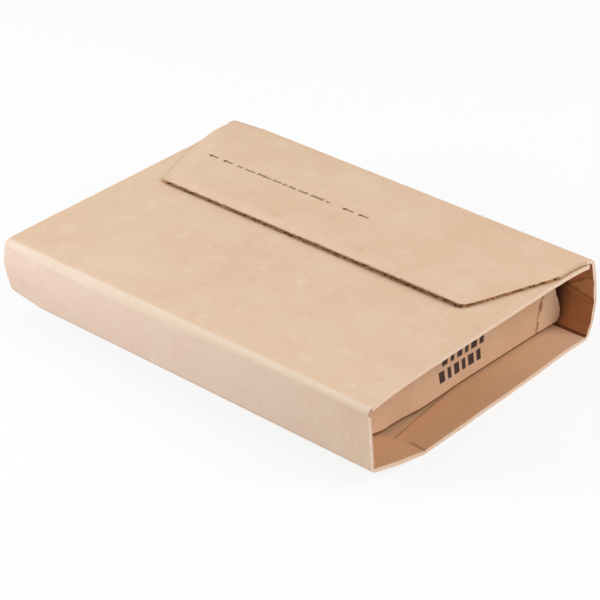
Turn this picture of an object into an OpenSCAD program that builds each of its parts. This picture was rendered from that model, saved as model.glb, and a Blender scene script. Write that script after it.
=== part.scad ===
// Book wrap mailer: a corrugated sheet wrapped round a crossing inner sheet and sealed on top.
// Millimetres. X runs along the open tube, Y from the near wall to the far wall, Z up.
// The origin is the middle of the footprint, on the surface that the mailer lies on.

/* [Outer wrap] */
// Length of the tube between its two open ends
wrap_l = 405; // [330:5:480]
// Width on top, from the near crease to the far crease
wrap_w = 303; // [260:1:340]
// Height of the near top crease
near_h = 77; // [68:1:96]
// Height of the top panel where it reaches the far wall
far_h = 74; // [66:1:92]
// Thickness of the outer board
board_t = 4; // [3:0.1:4.6]
// Rise of the top panel's middle at the right end
crown_right = 4.5; // [0:0.5:7]
// Rise of the top panel's middle at the left end
crown_left = 0.5; // [0:0.5:7]
// Run of the flattened band along the near top crease
band_run = 3; // [2.8:0.1:4]
// Drop of that band at the two ends
band_drop = 3; // [3:0.1:5]
// Extra drop of that band where it is widest
band_swell = 4; // [0:0.5:8]
// Radius of the other creases
crease_r = 5; // [4.6:0.1:6.5]
// Radius of the soft fold at the far crease, where the flap starts
fold_r = 7; // [5:0.1:9]
// How much softer that fold is at the left end
fold_soft = 7; // [0:0.5:7]

/* [Near wall and base] */
// How far the near wall's foot stands in at the right end
foot_in_right = 5.5; // [0:0.5:9]
// How far the near wall's foot stands in at the left end
foot_in_left = 2; // [0:0.5:9]
// Height of the near wall's foot at the right end
foot_z_right = 14.5; // [6:0.5:24]
// Height of the near wall's foot at the left end
foot_z_left = 22; // [6:0.5:26]
// Extra rise of the foot where the left corner is pushed in
corner_rise = 5; // [0:0.5:10]
// Length of the pushed-in left corner
corner_l = 36; // [20:1:37]
// Distance from the near wall to the base's crease at the right end
crease_right = 70; // [56:1:86]
// Distance from the near wall to the base's crease at the left end
crease_left = 34; // [30:1:86]

/* [Far wall] */
// Outward bow of the far wall, most of it a little below mid height
bulge = 9; // [0:0.5:12]
// How far the far wall's foot stands in from its top
far_foot_in = 4; // [0:0.5:8]
// Height of the lowest score line
score_first = 13; // [12:1:20]
// Distance between score lines
score_pitch = 21; // [14:1:26]

/* [Closure flap] */
// Reach of the flap from the far crease, at mid length
flap_reach = 138.5; // [120:0.5:180]
// How much further the flap reaches at the right corner than at the left
flap_skew = 4; // [0:0.5:10]
// Inset of the flap's free corners from the ends of the tube
corner_inset = 36; // [24:1:60]
// Distance from the far crease to where the slanted sides reach the ends
shoulder = 48; // [30:1:70]
// Radius of the flap's free corners
flap_corner_r = 5; // [4:0.5:14]
// Inset of the flap's straight sides from the ends of the tube
side_inset = 1.5; // [0.5:0.1:4]
// Gap between the flap and the top panel
flap_gap = 0.9; // [0.7:0.1:2]
// Pitch of the outer board's flutes
flute_pitch = 8; // [6:0.1:10]
// Thickness of one liner of the outer board
liner_t = 0.6; // [0.3:0.05:0.7]
// Thickness of the fluted medium of the outer board
medium_t = 0.5; // [0.3:0.05:0.7]
// Depth of the open flutes along the flap's cut edges
flute_depth = 9; // [4:0.5:14]

/* [Inner wrap] */
// Thickness of the inner board
inner_t = 1.8; // [1.4:0.1:2.4]
// Radius of the inner board's creases
inner_r = 3; // [2.4:0.1:4]
// Depth of the right end's recess at the near wall
recess_near = 44; // [30:1:60]
// Depth of the right end's recess at the far wall
recess_far = 31; // [24:1:60]
// Depth of the left end's recess
recess_left = 37.5; // [37:0.5:60]
// Gap between the two end flaps that meet over the contents
meeting_gap = 10; // [2:1:30]
// Clearance between the inner wrap and the outer wrap
slip = 0.8; // [0.5:0.1:1.6]
// Length of the buckled stretch at the far edge of the right end wall
buckle_l = 34; // [24:1:50]
// How far the buckled stretch leans out at mid height
buckle_out = 3; // [0:0.5:3.5]
// How far its top corner is pushed in
buckle_in = 7; // [0:0.5:8]

/* [Glue and tape] */
// Width of the adhesive strip that seals the flap
seal_w = 22; // [10:1:30]
// Distance of the adhesive strip from the flap's free edge
seal_back = 14; // [8:1:20]
// Width of the tear tape
tape_w = 6; // [3:1:10]
// Thickness of the tear tape
tape_t = 0.3; // [0.1:0.05:0.4]
// Distance of the tear tape from the far crease
tape_back = 76; // [56:1:78]
// Play above and below the strips that lie under the flap
film_play = 0.15; // [0.1:0.01:0.15]
// Thickness of the glue under the inner wrap's floor
glue_t = 0.4; // [0.3:0.05:0.6]
// Width of one line of glue
glue_w = 12; // [6:1:20]
// Length of one line of glue
glue_l = 150; // [100:5:160]
// Distance between the lines of glue
glue_pitch = 110; // [60:5:110]

/* [Hidden] */

kraft = "#dfbe9f";
kraft_thin = "#c9a284";
glue_amber = "#e4d3a8";
tape_white = "#e9e4da";

half_l = wrap_l / 2;
// Powers of the height in the far wall's bow, and of the width in the panel's flat-topped crown
bow_low = 0.75;
crown_flat = 6;
// Outer height at the far crease: the panel, the gap and the flap on top of it
fold_z = far_h + flap_gap + board_t;
// Heights of the score lines, which stop short of the far crease
top_clear = 12;
scores = [for (z = score_first; z < fold_z - top_clear; z = z + score_pitch) z];
far_reach = max([for (z = scores) far_wall_y(z)]);
y_mid = far_reach / 2;

// Shares of the half length at which the outer wrap's section is set out
tube_steps = [-1, -0.955, -0.91, -0.82, -0.6, -0.35, -0.1, 0.15, 0.4, 0.7, 0.9, 1];
// Where the swollen band starts, and how far it leans to the left end
band_start = 0.15;
band_lean = 1.7;
// Play between the top panel's edge and the far wall
edge_gap = 1.2;
// Extra room under the inner wrap's floor, where the twisted slope of the base lies under it
slope_play = 0.6;
// Shares of the slanted sides and of the bare panel at which the sheet is set out
slant_steps = [0.33, 0.66];
bare_steps = [0.3, 0.6, 0.85, 0.95];
// Half of the flat stretch where the medium meets a liner, as a share of the pitch
flute_flat = 0.1;

function lerp(a, b, k) = a + (b - a) * k;
function unit(v) = v / norm(v);
// 0 at the right end of the tube, 1 at the left end
function side(x) = (half_l - x) / wrap_l;

// Straight fall of the top panel from crease to far wall
function across(y) = min(1, max(0, (y - band_run) / (wrap_w - band_run)));
function line_z(y) = lerp(near_h, far_h, across(y));
// Upper face of the top panel: that line with a flat-topped crown on it
function crown(x) = lerp(crown_right, crown_left, side(x));
function panel_z(x, y) = line_z(y) + crown(x) * (1 - pow(2 * across(y) - 1, crown_flat));

// Outer face of the far wall at height z
function far_wall_y(z) =
    wrap_w - far_foot_in * (1 - z / fold_z) + bulge * sin(180 * pow(z / fold_z, bow_low));

// Foot of the near wall, and the base that slopes from it down to its crease
function foot_in(x) = lerp(foot_in_right, foot_in_left, side(x));
function pushed(x) = max(0, 1 - (x + half_l) / corner_l);
function foot_z(x) = lerp(foot_z_right, foot_z_left, side(x)) + corner_rise * pushed(x);
function crease_y(x) = lerp(crease_right, crease_left, side(x));
function base_slope(x) = foot_z(x) / (crease_y(x) - foot_in(x));
// Lowest place of the inner wrap's floor: on the base, and a little above it on the slope
function floor_bed(x, y) =
    let (m = base_slope(x))
    max(board_t, (crease_y(x) - y) * m + board_t * sqrt(1 + m * m) + slope_play);

// Drop of the flattened band under the near top crease
function band_share(x) = min(1, max(0, (side(x) - band_start) / (1 - band_start)));
function band_z(x) = near_h - band_drop - band_swell * sin(180 * pow(band_share(x), band_lean));

// Reach of the flap at a share u of the half length, and its half width at distance d from the crease
function reach(u) = flap_reach + flap_skew * u / 2;
function slant_w(d) = half_l - side_inset
    - (corner_inset - side_inset) * max(0, (d - shoulder) / (flap_reach - shoulder));
function corner_cut(d) =
    let (e = max(0, d - flap_reach + flap_corner_r))
    flap_corner_r - sqrt(flap_corner_r * flap_corner_r - e * e);
function flap_half_w(d) = slant_w(d) - corner_cut(d);
function flap_top(x, y) = panel_z(x, y) + flap_gap + board_t;

// Distances from the far crease at which the flap is set out
flap_steps = concat(
    [for (k = [0.35, 0.7, 1]) k * shoulder],
    [for (k = slant_steps) lerp(shoulder, flap_reach - flap_corner_r, k)],
    [for (k = [1, 0.5, 0.15, 0]) flap_reach - k * flap_corner_r]);
// The same places on the top panel under it, from the far wall to the flap's free edge
panel_steps = concat([board_t + edge_gap],
    [for (d = flap_steps) if (d < flap_reach - 0.9 * flap_corner_r) d]);

// Three points that round the corner f between a and b
function rounded(a, f, b, r) =
    let (p = f + r * unit(a - f), q = f + r * unit(b - f))
    [p, (p + 2 * f + q) / 4, q];

// Outer line of the outer wrap at a share u of the half length: [x, y, z] points from the panel's
// far edge over the near crease, down the near wall, along the base and up the far wall to the flap
function outer_line(u) =
    let (
        x = u * half_l,
        stretch = reach(u) / flap_reach,
        free_y = wrap_w - reach(u),
        panel = [for (d = panel_steps) let (y = wrap_w - d * stretch) [x, y, panel_z(x, y)]],
        bare = [for (k = bare_steps) let (y = lerp(free_y, band_run, k)) [x, y, panel_z(x, y)]],
        band = [[x, band_run, near_h], [x, 0, band_z(x)]],
        foot = [x, foot_in(x), foot_z(x)],
        crease = [x, crease_y(x), 0],
        far_foot = [x, far_wall_y(0), 0],
        wall = [for (z = scores) [x, far_wall_y(z), z]],
        fold = [x, wrap_w, fold_z],
        flap = [for (d = flap_steps)
            let (fx = u * flap_half_w(d), y = wrap_w - d * stretch) [fx, y, flap_top(fx, y)]]
    )
    concat(panel, bare, band,
        rounded(band[1], foot, crease, crease_r * (1 + pushed(x))), [crease],
        rounded(crease, far_foot, wall[0], crease_r), wall,
        rounded(wall[len(wall) - 1], fold, flap[0], fold_r + fold_soft * pushed(x)), flap);

// Moves point i of a line to the sheet's other face, t to the left of the way that the line runs,
// in the plane of the coordinates a and b
function inward(line, i, t, a, b) =
    let (
        last = len(line) - 1,
        here = [line[i][a], line[i][b]],
        before = i > 0 ? [line[i - 1][a], line[i - 1][b]] : here,
        after = i < last ? [line[i + 1][a], line[i + 1][b]] : here,
        d1 = unit(i > 0 ? here - before : after - here),
        d2 = unit(i < last ? after - here : here - before),
        n1 = [-d1[1], d1[0]],
        n2 = [-d2[1], d2[0]],
        shift = (n1 + n2) * t / (1 + n1 * n2)
    )
    [for (c = [0:2]) line[i][c] + (c == a ? shift[0] : c == b ? shift[1] : 0)];

// A folded sheet: rows of outer points, thickness t, closed round its four cut edges
module sheet(rows, t, a, b) {
    m = len(rows);
    n = len(rows[0]);
    under = m * n;
    points = concat(
        [for (row = rows) each row],
        [for (row = rows) for (j = [0:n - 1]) inward(row, j, t, a, b)]);
    quads = concat(
        [for (i = [0:m - 2]) for (j = [0:n - 2]) let (k = i * n + j) each [
            [k, k + n, k + n + 1, k + 1],
            [under + k, under + k + 1, under + k + n + 1, under + k + n]]],
        [for (j = [0:n - 2]) let (k = (m - 1) * n + j) each [
            [j, j + 1, under + j + 1, under + j],
            [k + 1, k, under + k, under + k + 1]]],
        [for (i = [0:m - 2]) let (k = i * n, l = i * n + n - 1) each [
            [k + n, k, under + k, under + k + n],
            [l, l + n, under + l + n, under + l]]]);
    polyhedron(points, [for (q = quads) each [[q[0], q[1], q[2]], [q[0], q[2], q[3]]]]);
}

// A closed strip through rings of points that run round its section
module strip(rings) {
    n = len(rings[0]);
    last = (len(rings) - 1) * n;
    quads = [for (i = [0:len(rings) - 2]) for (j = [0:n - 1])
        let (k = i * n, l = (j + 1) % n) [k + j, k + l, k + n + l, k + n + j]];
    polyhedron(
        [for (ring = rings) each ring],
        concat([for (q = quads) each [[q[0], q[1], q[2]], [q[0], q[2], q[3]]]],
            [[for (j = [n - 1:-1:0]) j], [for (j = [0:n - 1]) last + j]]));
}

// Distance from the far crease to the flap's cut edge at x
function edge_d(x) =
    let (over = abs(x) - half_l + corner_inset)
    over < 0 ? reach(x / half_l)
             : flap_reach - (flap_reach - shoulder) * min(1, over / (corner_inset - side_inset));

// One open flute, running back from the flap's cut edge, wide at the upper or at the lower liner
module open_flute(x, up) {
    h = board_t / 2 - liner_t;
    run = (flute_pitch / 2 - 2 * flute_flat * flute_pitch) / (2 * h - medium_t);
    wall = medium_t * (sqrt(1 + run * run) - run) / 2;
    narrow = flute_flat * flute_pitch - wall;
    wide = flute_pitch / 2 - flute_flat * flute_pitch - wall;
    ends = [edge_d(x - wide), edge_d(x + wide)];
    d = [max(ends) + 1, min(ends) - flute_depth];
    y = wrap_w - (d[0] + d[1]) / 2;
    climb = flap_top(x, y + 1) - flap_top(x, y - 1);
    translate([x, y, flap_top(x, y) - board_t / 2])
        rotate([atan2(climb, 2), 0, 0]) rotate([90, 0, 0]) mirror([0, up ? 0 : 1, 0])
            linear_extrude(d[0] - d[1], center = true)
                polygon([[-wide, h], [wide, h], [narrow, medium_t - h], [-narrow, medium_t - h]]);
}

// The outer wrap is one sheet: top panel, near wall, base, far wall and closure flap
module outer_wrap() {
    flute_n = floor((half_l - side_inset) / flute_pitch) - 1;
    color(kraft) translate([0, -y_mid, 0]) difference() {
        sheet([for (u = tube_steps) outer_line(u)], board_t, 1, 2);
        for (i = [-flute_n:flute_n]) {
            open_flute(i * flute_pitch, true);
            open_flute((i - 0.5) * flute_pitch, false);
        }
    }
}

// The inner wrap crosses the outer one; its end walls stand back from the open ends
near_edge = max(foot_in_right, foot_in_left) + board_t + slip;
far_edge = far_wall_y(0) - board_t - slip;
left_x = recess_left - half_l;
// Shares of the buckled stretch, and of the flat width before it, at which the sheet is set out
buckle_steps = [1, 0.88, 0.75, 0.58, 0.4, 0.2, 0];
width_steps = [0.75, 0.5, 0.28, 0.22, 0.17, 0.12, 0.08, 0.04, 0];
floor_steps = [0.1, 0.25, 0.42, 0.6, 0.78, 0.92];
wall_steps = [0.15, 0.35, 0.55, 0.75];
// Where the slanted fold of the buckle lies, as shares of its stretch at the foot and at the top
buckle_foot = 0.8;
buckle_top = 0.25;

function right_x(y) = half_l - lerp(recess_near, recess_far, y / wrap_w);
// Past a slanted fold the end wall leans out at mid height, and its top corner is pushed in
function buckle(y, z) =
    let (
        up = max(0, z / near_h),
        past = max(0, 1 - (far_edge - y) / (buckle_l * lerp(buckle_foot, buckle_top, up)))
    )
    past * (buckle_out * sin(180 * up) - buckle_in * pow(up, 3));
function inner_line(y) =
    let (
        top = line_z(y) - board_t * 1.01 - slip,
        left_z = floor_bed(left_x, y) + glue_t,
        right = right_x(y),
        right_z = floor_bed(right, y) + glue_t,
        mid_x = (left_x + right) / 2,
        base = [for (k = floor_steps) let (x = lerp(left_x, right, k)) [x, y, floor_bed(x, y) + glue_t]],
        wall = [for (k = wall_steps) let (z = lerp(right_z, top, k)) [right + buckle(y, z), y, z]]
    )
    concat(
        [[mid_x - meeting_gap / 2, y, top]],
        rounded([mid_x, y, top], [left_x, y, top], [left_x, y, left_z], inner_r),
        rounded([left_x, y, top], [left_x, y, left_z], base[0], inner_r),
        base,
        rounded(base[len(base) - 1], [right, y, right_z], wall[0], inner_r),
        wall,
        rounded(wall[len(wall) - 1], [right + buckle(y, top), y, top], [mid_x, y, top], inner_r),
        [[mid_x + meeting_gap / 2, y, top]]);

module inner_wrap() {
    flat_end = far_edge - buckle_l;
    ys = concat(
        [for (k = buckle_steps) lerp(flat_end, far_edge, k)],
        [for (k = width_steps) lerp(near_edge, flat_end, k)]);
    color(kraft_thin) translate([0, -y_mid, 0])
        sheet([for (y = ys) inner_line(y)], inner_t, 0, 2);
}

// A thin layer between the top panel and the flap, from y0 to y1, that leaves its play to both
function film_ring(x, y0, y1, low, high) =
    [[x, y0, panel_z(x, y0) + low], [x, y0, panel_z(x, y0) + high],
     [x, y1, panel_z(x, y1) + high], [x, y1, panel_z(x, y1) + low]];

module seal_strip() {
    inset = corner_inset + flap_corner_r;
    color(glue_amber) translate([0, -y_mid, 0])
        strip([for (u = tube_steps)
            let (x = u * (half_l - inset), y = wrap_w - reach(u) + seal_back)
            film_ring(x, y, y + seal_w, film_play, flap_gap - film_play)]);
}

module tear_tape() {
    end_w = slant_w(tape_back + tape_w) - film_play;
    y = wrap_w - tape_back - tape_w / 2;
    high = flap_gap - film_play;
    color(tape_white) translate([0, -y_mid, 0])
        strip([for (u = tube_steps)
            film_ring(u * end_w, y, y + tape_w, high - tape_t, high)]);
}

// Lines of glue that hold the inner wrap's floor to the base
module floor_glue() {
    y = lerp(max(crease_right, crease_left), far_edge, 0.5);
    color(glue_amber) translate([0, -y_mid, 0])
        for (i = [-1:1])
            translate([i * glue_pitch - glue_w / 2, y - glue_l / 2, board_t])
                cube([glue_w, glue_l, glue_t]);
}

outer_wrap();
inner_wrap();
seal_strip();
tear_tape();
floor_glue();
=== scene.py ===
import bpy
import numpy as np
from mathutils import Matrix, Vector


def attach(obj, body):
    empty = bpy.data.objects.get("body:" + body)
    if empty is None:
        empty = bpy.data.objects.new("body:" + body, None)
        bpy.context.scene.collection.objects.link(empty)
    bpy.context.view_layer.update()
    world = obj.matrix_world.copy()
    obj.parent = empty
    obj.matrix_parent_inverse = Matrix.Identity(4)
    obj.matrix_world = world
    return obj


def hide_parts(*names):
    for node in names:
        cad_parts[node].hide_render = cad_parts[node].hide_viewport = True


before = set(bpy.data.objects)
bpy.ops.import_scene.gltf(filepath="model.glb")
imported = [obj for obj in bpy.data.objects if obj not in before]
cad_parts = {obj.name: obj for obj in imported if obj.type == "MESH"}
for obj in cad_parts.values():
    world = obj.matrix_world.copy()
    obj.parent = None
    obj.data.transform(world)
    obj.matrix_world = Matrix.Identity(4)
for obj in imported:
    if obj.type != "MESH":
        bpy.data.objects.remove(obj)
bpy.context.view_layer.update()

MM = 0.001

# The camera looks over the near wall at the open right end: 41 degrees round from the near
# wall, 31 degrees above the table and a little over two metres away, with a long lens.
look_from = np.radians([40.65, 31.23])
camera_away, camera_right, camera_up = 2152.59, 1.98, 22.93
focal_px, photo_px, sensor_mm = 2466.19, 600.0, 36.0
# The lens was fitted with the middle between the two top creases as its origin
lens_origin = np.array([0.0, -2.84, 0.0])

back = np.array([np.sin(look_from[0]) * np.cos(look_from[1]),
                 -np.cos(look_from[0]) * np.cos(look_from[1]), np.sin(look_from[1])])
right = np.array([np.cos(look_from[0]), np.sin(look_from[0]), 0.0])
up = np.cross(back, right)
camera_data = bpy.data.cameras.new("camera")
camera_data.sensor_width = sensor_mm
camera_data.lens = focal_px / photo_px * sensor_mm
camera_data.clip_start, camera_data.clip_end = 0.1, 50.0
camera = bpy.data.objects.new("camera", camera_data)
stand = (back * camera_away + right * camera_right + up * camera_up + lens_origin) * MM
camera.matrix_world = (Matrix.Translation(Vector(stand))
                       @ Matrix(np.array([right, up, back]).T.tolist()).to_4x4())
bpy.context.scene.collection.objects.link(camera)
bpy.context.scene.camera = camera

# The outer wrap is one sheet of brown single-wall board, 4 mm thick with 8 mm flutes, cut on a
# die and folded round the tube: top panel, near wall, base, far wall and closure flap. Its sizes
# are in millimetres. Two sizes in brackets are those of the right end and of the left end.
tube_l, tube_w = 405.0, 303.0
half_l = tube_l / 2
near_h, far_h, crown_h = 77.0, 74.0, (4.5, 0.5)
board_t, liner_t, medium_t, flute_pitch = 4.0, 0.45, 0.45, 8.0
crease_t, band_t = 3.3, 2.8
crease_r, slope_r, band_r, score_r, fold_r, fold_soft = 5.0, 2.5, 1.9, 1.5, 7.0, 7.0
band_run, band_drop, band_swell, band_start, band_lean = 3.0, 3.0, 4.0, 0.15, 1.7
foot_y, foot_z, crease_y = (5.5, 2.0), (14.5, 22.0), (70.0, 34.0)
push_l, push_lift = 34.0, 5.0
near_belly, near_belly_left, end_sag, end_bulge = 0.5, 2.6, 2.6, 1.0
far_foot_in, far_bow, bow_lean = 4.0, 9.0, 0.75
flap_gap, flap_reach, flap_skew, flap_start, flap_room = 0.9, 138.5, 4.0, 16.8, 1.2
shoulder, shoulder_left, corner_inset, corner_left = 48.0, 58.0, 34.0, 28.0
corner_r, side_inset = 4.5, 1.5
edge_press, edge_press_w, press_share = (0.9, 1.9), 12.0, 0.8
side_press, side_press_w = (1.9, 3.3), (9.0, 26.0)
flute_depth, slant_depth, end_recess, notch_depth = 9.0, 2.2, 0.3, 7.0
fold_z = far_h + flap_gap + board_t
score_z = np.array([13.0, 34.0, 55.0])


def lerp(a, b, k):
    """Straight change from a to b as k goes from 0 to 1."""
    return a + (b - a) * k


def ease(a, b, x):
    """0 below a, 1 above b, and an S-shaped rise between them."""
    k = np.clip((x - a) / (b - a), 0, 1)
    return k * k * (3 - 2 * k)


def ragged(s):
    """A rough line between -1 and 1, three sine waves of unequal length multiplied and added."""
    return 0.6 * np.sin(s * 2.1) * np.sin(s * 0.73 + 1.0) + 0.4 * np.sin(s * 0.31 + 2.0)


def unit(v):
    """Vectors along the last axis, made one unit long."""
    return v / np.linalg.norm(v, axis=-1, keepdims=True)


def left_share(x):
    """0 at the right end of the tube, 1 at the left end."""
    return (half_l - x) / tube_l


def left_push(x):
    """1 at the left end, where the tube's corners are pushed in, down to 0 a short way along it."""
    return np.maximum(0, 1 - (x + half_l) / push_l)


def near_foot(x):
    """Distance and height of the near wall's foot and distance of the base's crease: straight lines
    from the right end to the left, with the foot lifted where the corner is pushed in."""
    side = left_share(x)
    return lerp(*foot_y, side), lerp(*foot_z, side) + push_lift * left_push(x), lerp(*crease_y, side)


def far_wall_y(z):
    """Outer face of the far wall: a foot that stands in, plus an outward bow, half a sine wave whose
    top is drawn down a little below mid height."""
    up = z / fold_z
    return tube_w - far_foot_in * (1 - up) + far_bow * np.sin(np.pi * up ** bow_lean)


# Sheet coordinates run from the near crease. The frame's origin is the middle of the footprint.
y_mid = far_wall_y(score_z[1]) / 2


def panel_z(x, y):
    """Upper face of the top panel: a straight fall from crease to crease with a flat crown on it."""
    across = np.clip((y - band_run) / (tube_w - band_run), 0, 1)
    return lerp(near_h, far_h, across) + lerp(*crown_h, left_share(x)) * (1 - (2 * across - 1) ** 6)


def bare_wave(x, y):
    """Slow waves of the bare panel, a third of a millimetre high, that die out at its edges."""
    waves = (0.22 * np.sin(x / 37 + 0.6) * np.sin(y / 31 + 0.4)
             + 0.14 * np.sin(x / 71 - y / 45 + 2.0))
    return waves * ease(0, 30, y) * (1 - ease(130, 160, y))


def reach(u):
    """Reach of the flap from the far crease at a share u of the half length: longer to the right."""
    return flap_reach + flap_skew * u / 2


def flap_z(x, y):
    """Upper face of the flap: the panel, the gap and the board, pressed thinner by the die towards
    the free edge, and most at its left end."""
    to_edge = tube_w - y - reach(x / half_l)
    press = lerp(edge_press[1], edge_press[0], ease(-150, 120, x)) * ease(-edge_press_w, 0, to_edge)
    return panel_z(x, y) + flap_gap + board_t - press


def flap_half_w(d, u):
    """Half width of the flap at distance d from the far crease: a slight inset, slanted sides
    past the shoulder, and a quarter circle off the free corners."""
    inset = side_inset * np.clip(d / flap_start, 0, 1)
    left = (u < 0)[:, None]
    start = np.where(left, shoulder_left, shoulder)
    slant_end = np.where(left, corner_left, corner_inset)
    slant = (slant_end - side_inset) * np.maximum(0, (d - start) / (flap_reach - start))
    e = np.maximum(0, d - flap_reach + corner_r)
    return half_l - inset - slant - corner_r + np.sqrt(np.maximum(0, corner_r ** 2 - e ** 2))


def bend(a, corner, b, radius, n):
    """n points round a corner of each row: a parabola from radius before it to radius after it."""
    p, q = corner + radius * unit(a - corner), corner + radius * unit(b - corner)
    t = np.linspace(0, 1, n)[None, :, None]
    return (1 - t) ** 2 * p[:, None] + 2 * t * (1 - t) * corner[:, None] + t ** 2 * q[:, None]


def run(a, b, n):
    """n points strictly between a and b of each row."""
    t = np.linspace(0, 1, n + 2)[None, 1:-1, None]
    return lerp(a[:, None], b[:, None], t)


def inner_face(line, thick):
    """The sheet's other face: each point moved by the thickness to the left of the way its row
    runs, along the mitre of the two stretches that meet there."""
    way = unit(np.diff(line, axis=1))
    before = np.concatenate([way[:, :1], way], axis=1)
    after = np.concatenate([way, way[:, -1:]], axis=1)
    n1 = np.stack([-before[..., 1], before[..., 0]], -1)
    n2 = np.stack([-after[..., 1], after[..., 0]], -1)
    return line + (n1 + n2) * (thick[..., None] / (1 + (n1 * n2).sum(-1, keepdims=True)))


to_shoulder_n = 12


def flap_rows(u):
    """The closure flap at shares u of the half length, from the far crease to the free edge. Gives
    the x of each point, and its y and z. The board is crushed towards the slanted sides, and the
    cut edges are a little rough."""
    x, side = u * half_l, left_share(u * half_l)[:, None]
    round_d = flap_reach - corner_r * (1 - np.sin(np.linspace(0, np.pi / 2, 10)))
    d = np.concatenate([np.linspace(flap_start, shoulder, to_shoulder_n),
                        np.linspace(shoulder, round_d[0], 52)[1:], round_d[1:]])[None]
    flap_y = tube_w - d * (reach(u) / flap_reach)[:, None]
    flap_y[:, -1] -= 0.45 + 0.45 * ragged(x * 1.1)
    flap_x = u[:, None] * flap_half_w(d, u)
    to_side = (1 - np.abs(u))[:, None] * flap_half_w(d, u)
    crushed = (lerp(*side_press, side) * ease(lerp(*side_press_w, side), 0, to_side)
               * ease(shoulder - 14, shoulder + 10, d)
               * ease(flap_reach, flap_reach - edge_press_w, d))
    at_cut = (np.abs(u) > 0.999)[:, None] * ease(shoulder, shoulder + 4, d)
    flap_x += at_cut * np.sign(u)[:, None] * 0.5 * ragged(d * 1.7)
    return flap_x, np.stack([flap_y, flap_z(flap_x, flap_y) - crushed], -1)


def end_shift(line, u, flap_n):
    """How far each point of the rows stands off its place along the tube: the two end cuts are a
    little rough, and at the right end the base and the far wall's middle stand out."""
    run_of_cut = np.cumsum(np.linalg.norm(np.diff(line[0], axis=0, prepend=line[0, :1]), axis=1))
    end_row = (np.abs(u) > 0.999)[:, None] & (np.arange(line.shape[1]) < line.shape[1] - flap_n)
    rough = np.where(end_row, np.sign(u)[:, None] * 0.3 * ragged(run_of_cut * 0.5), 0)
    y, z = line[..., 0], line[..., 1]
    sag = end_sag * ease(40, 4, z) * ease(0, 40, y) * (1 - 0.8 * ease(180, 290, y))
    bulge = end_bulge * ease(250, 300, y) * ease(78, 60, z)
    return rough + (sag + bulge) * ease(0.93, 1.0, u)[:, None]


PLAIN, CREASED, BAND = 0, 1, 2


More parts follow.
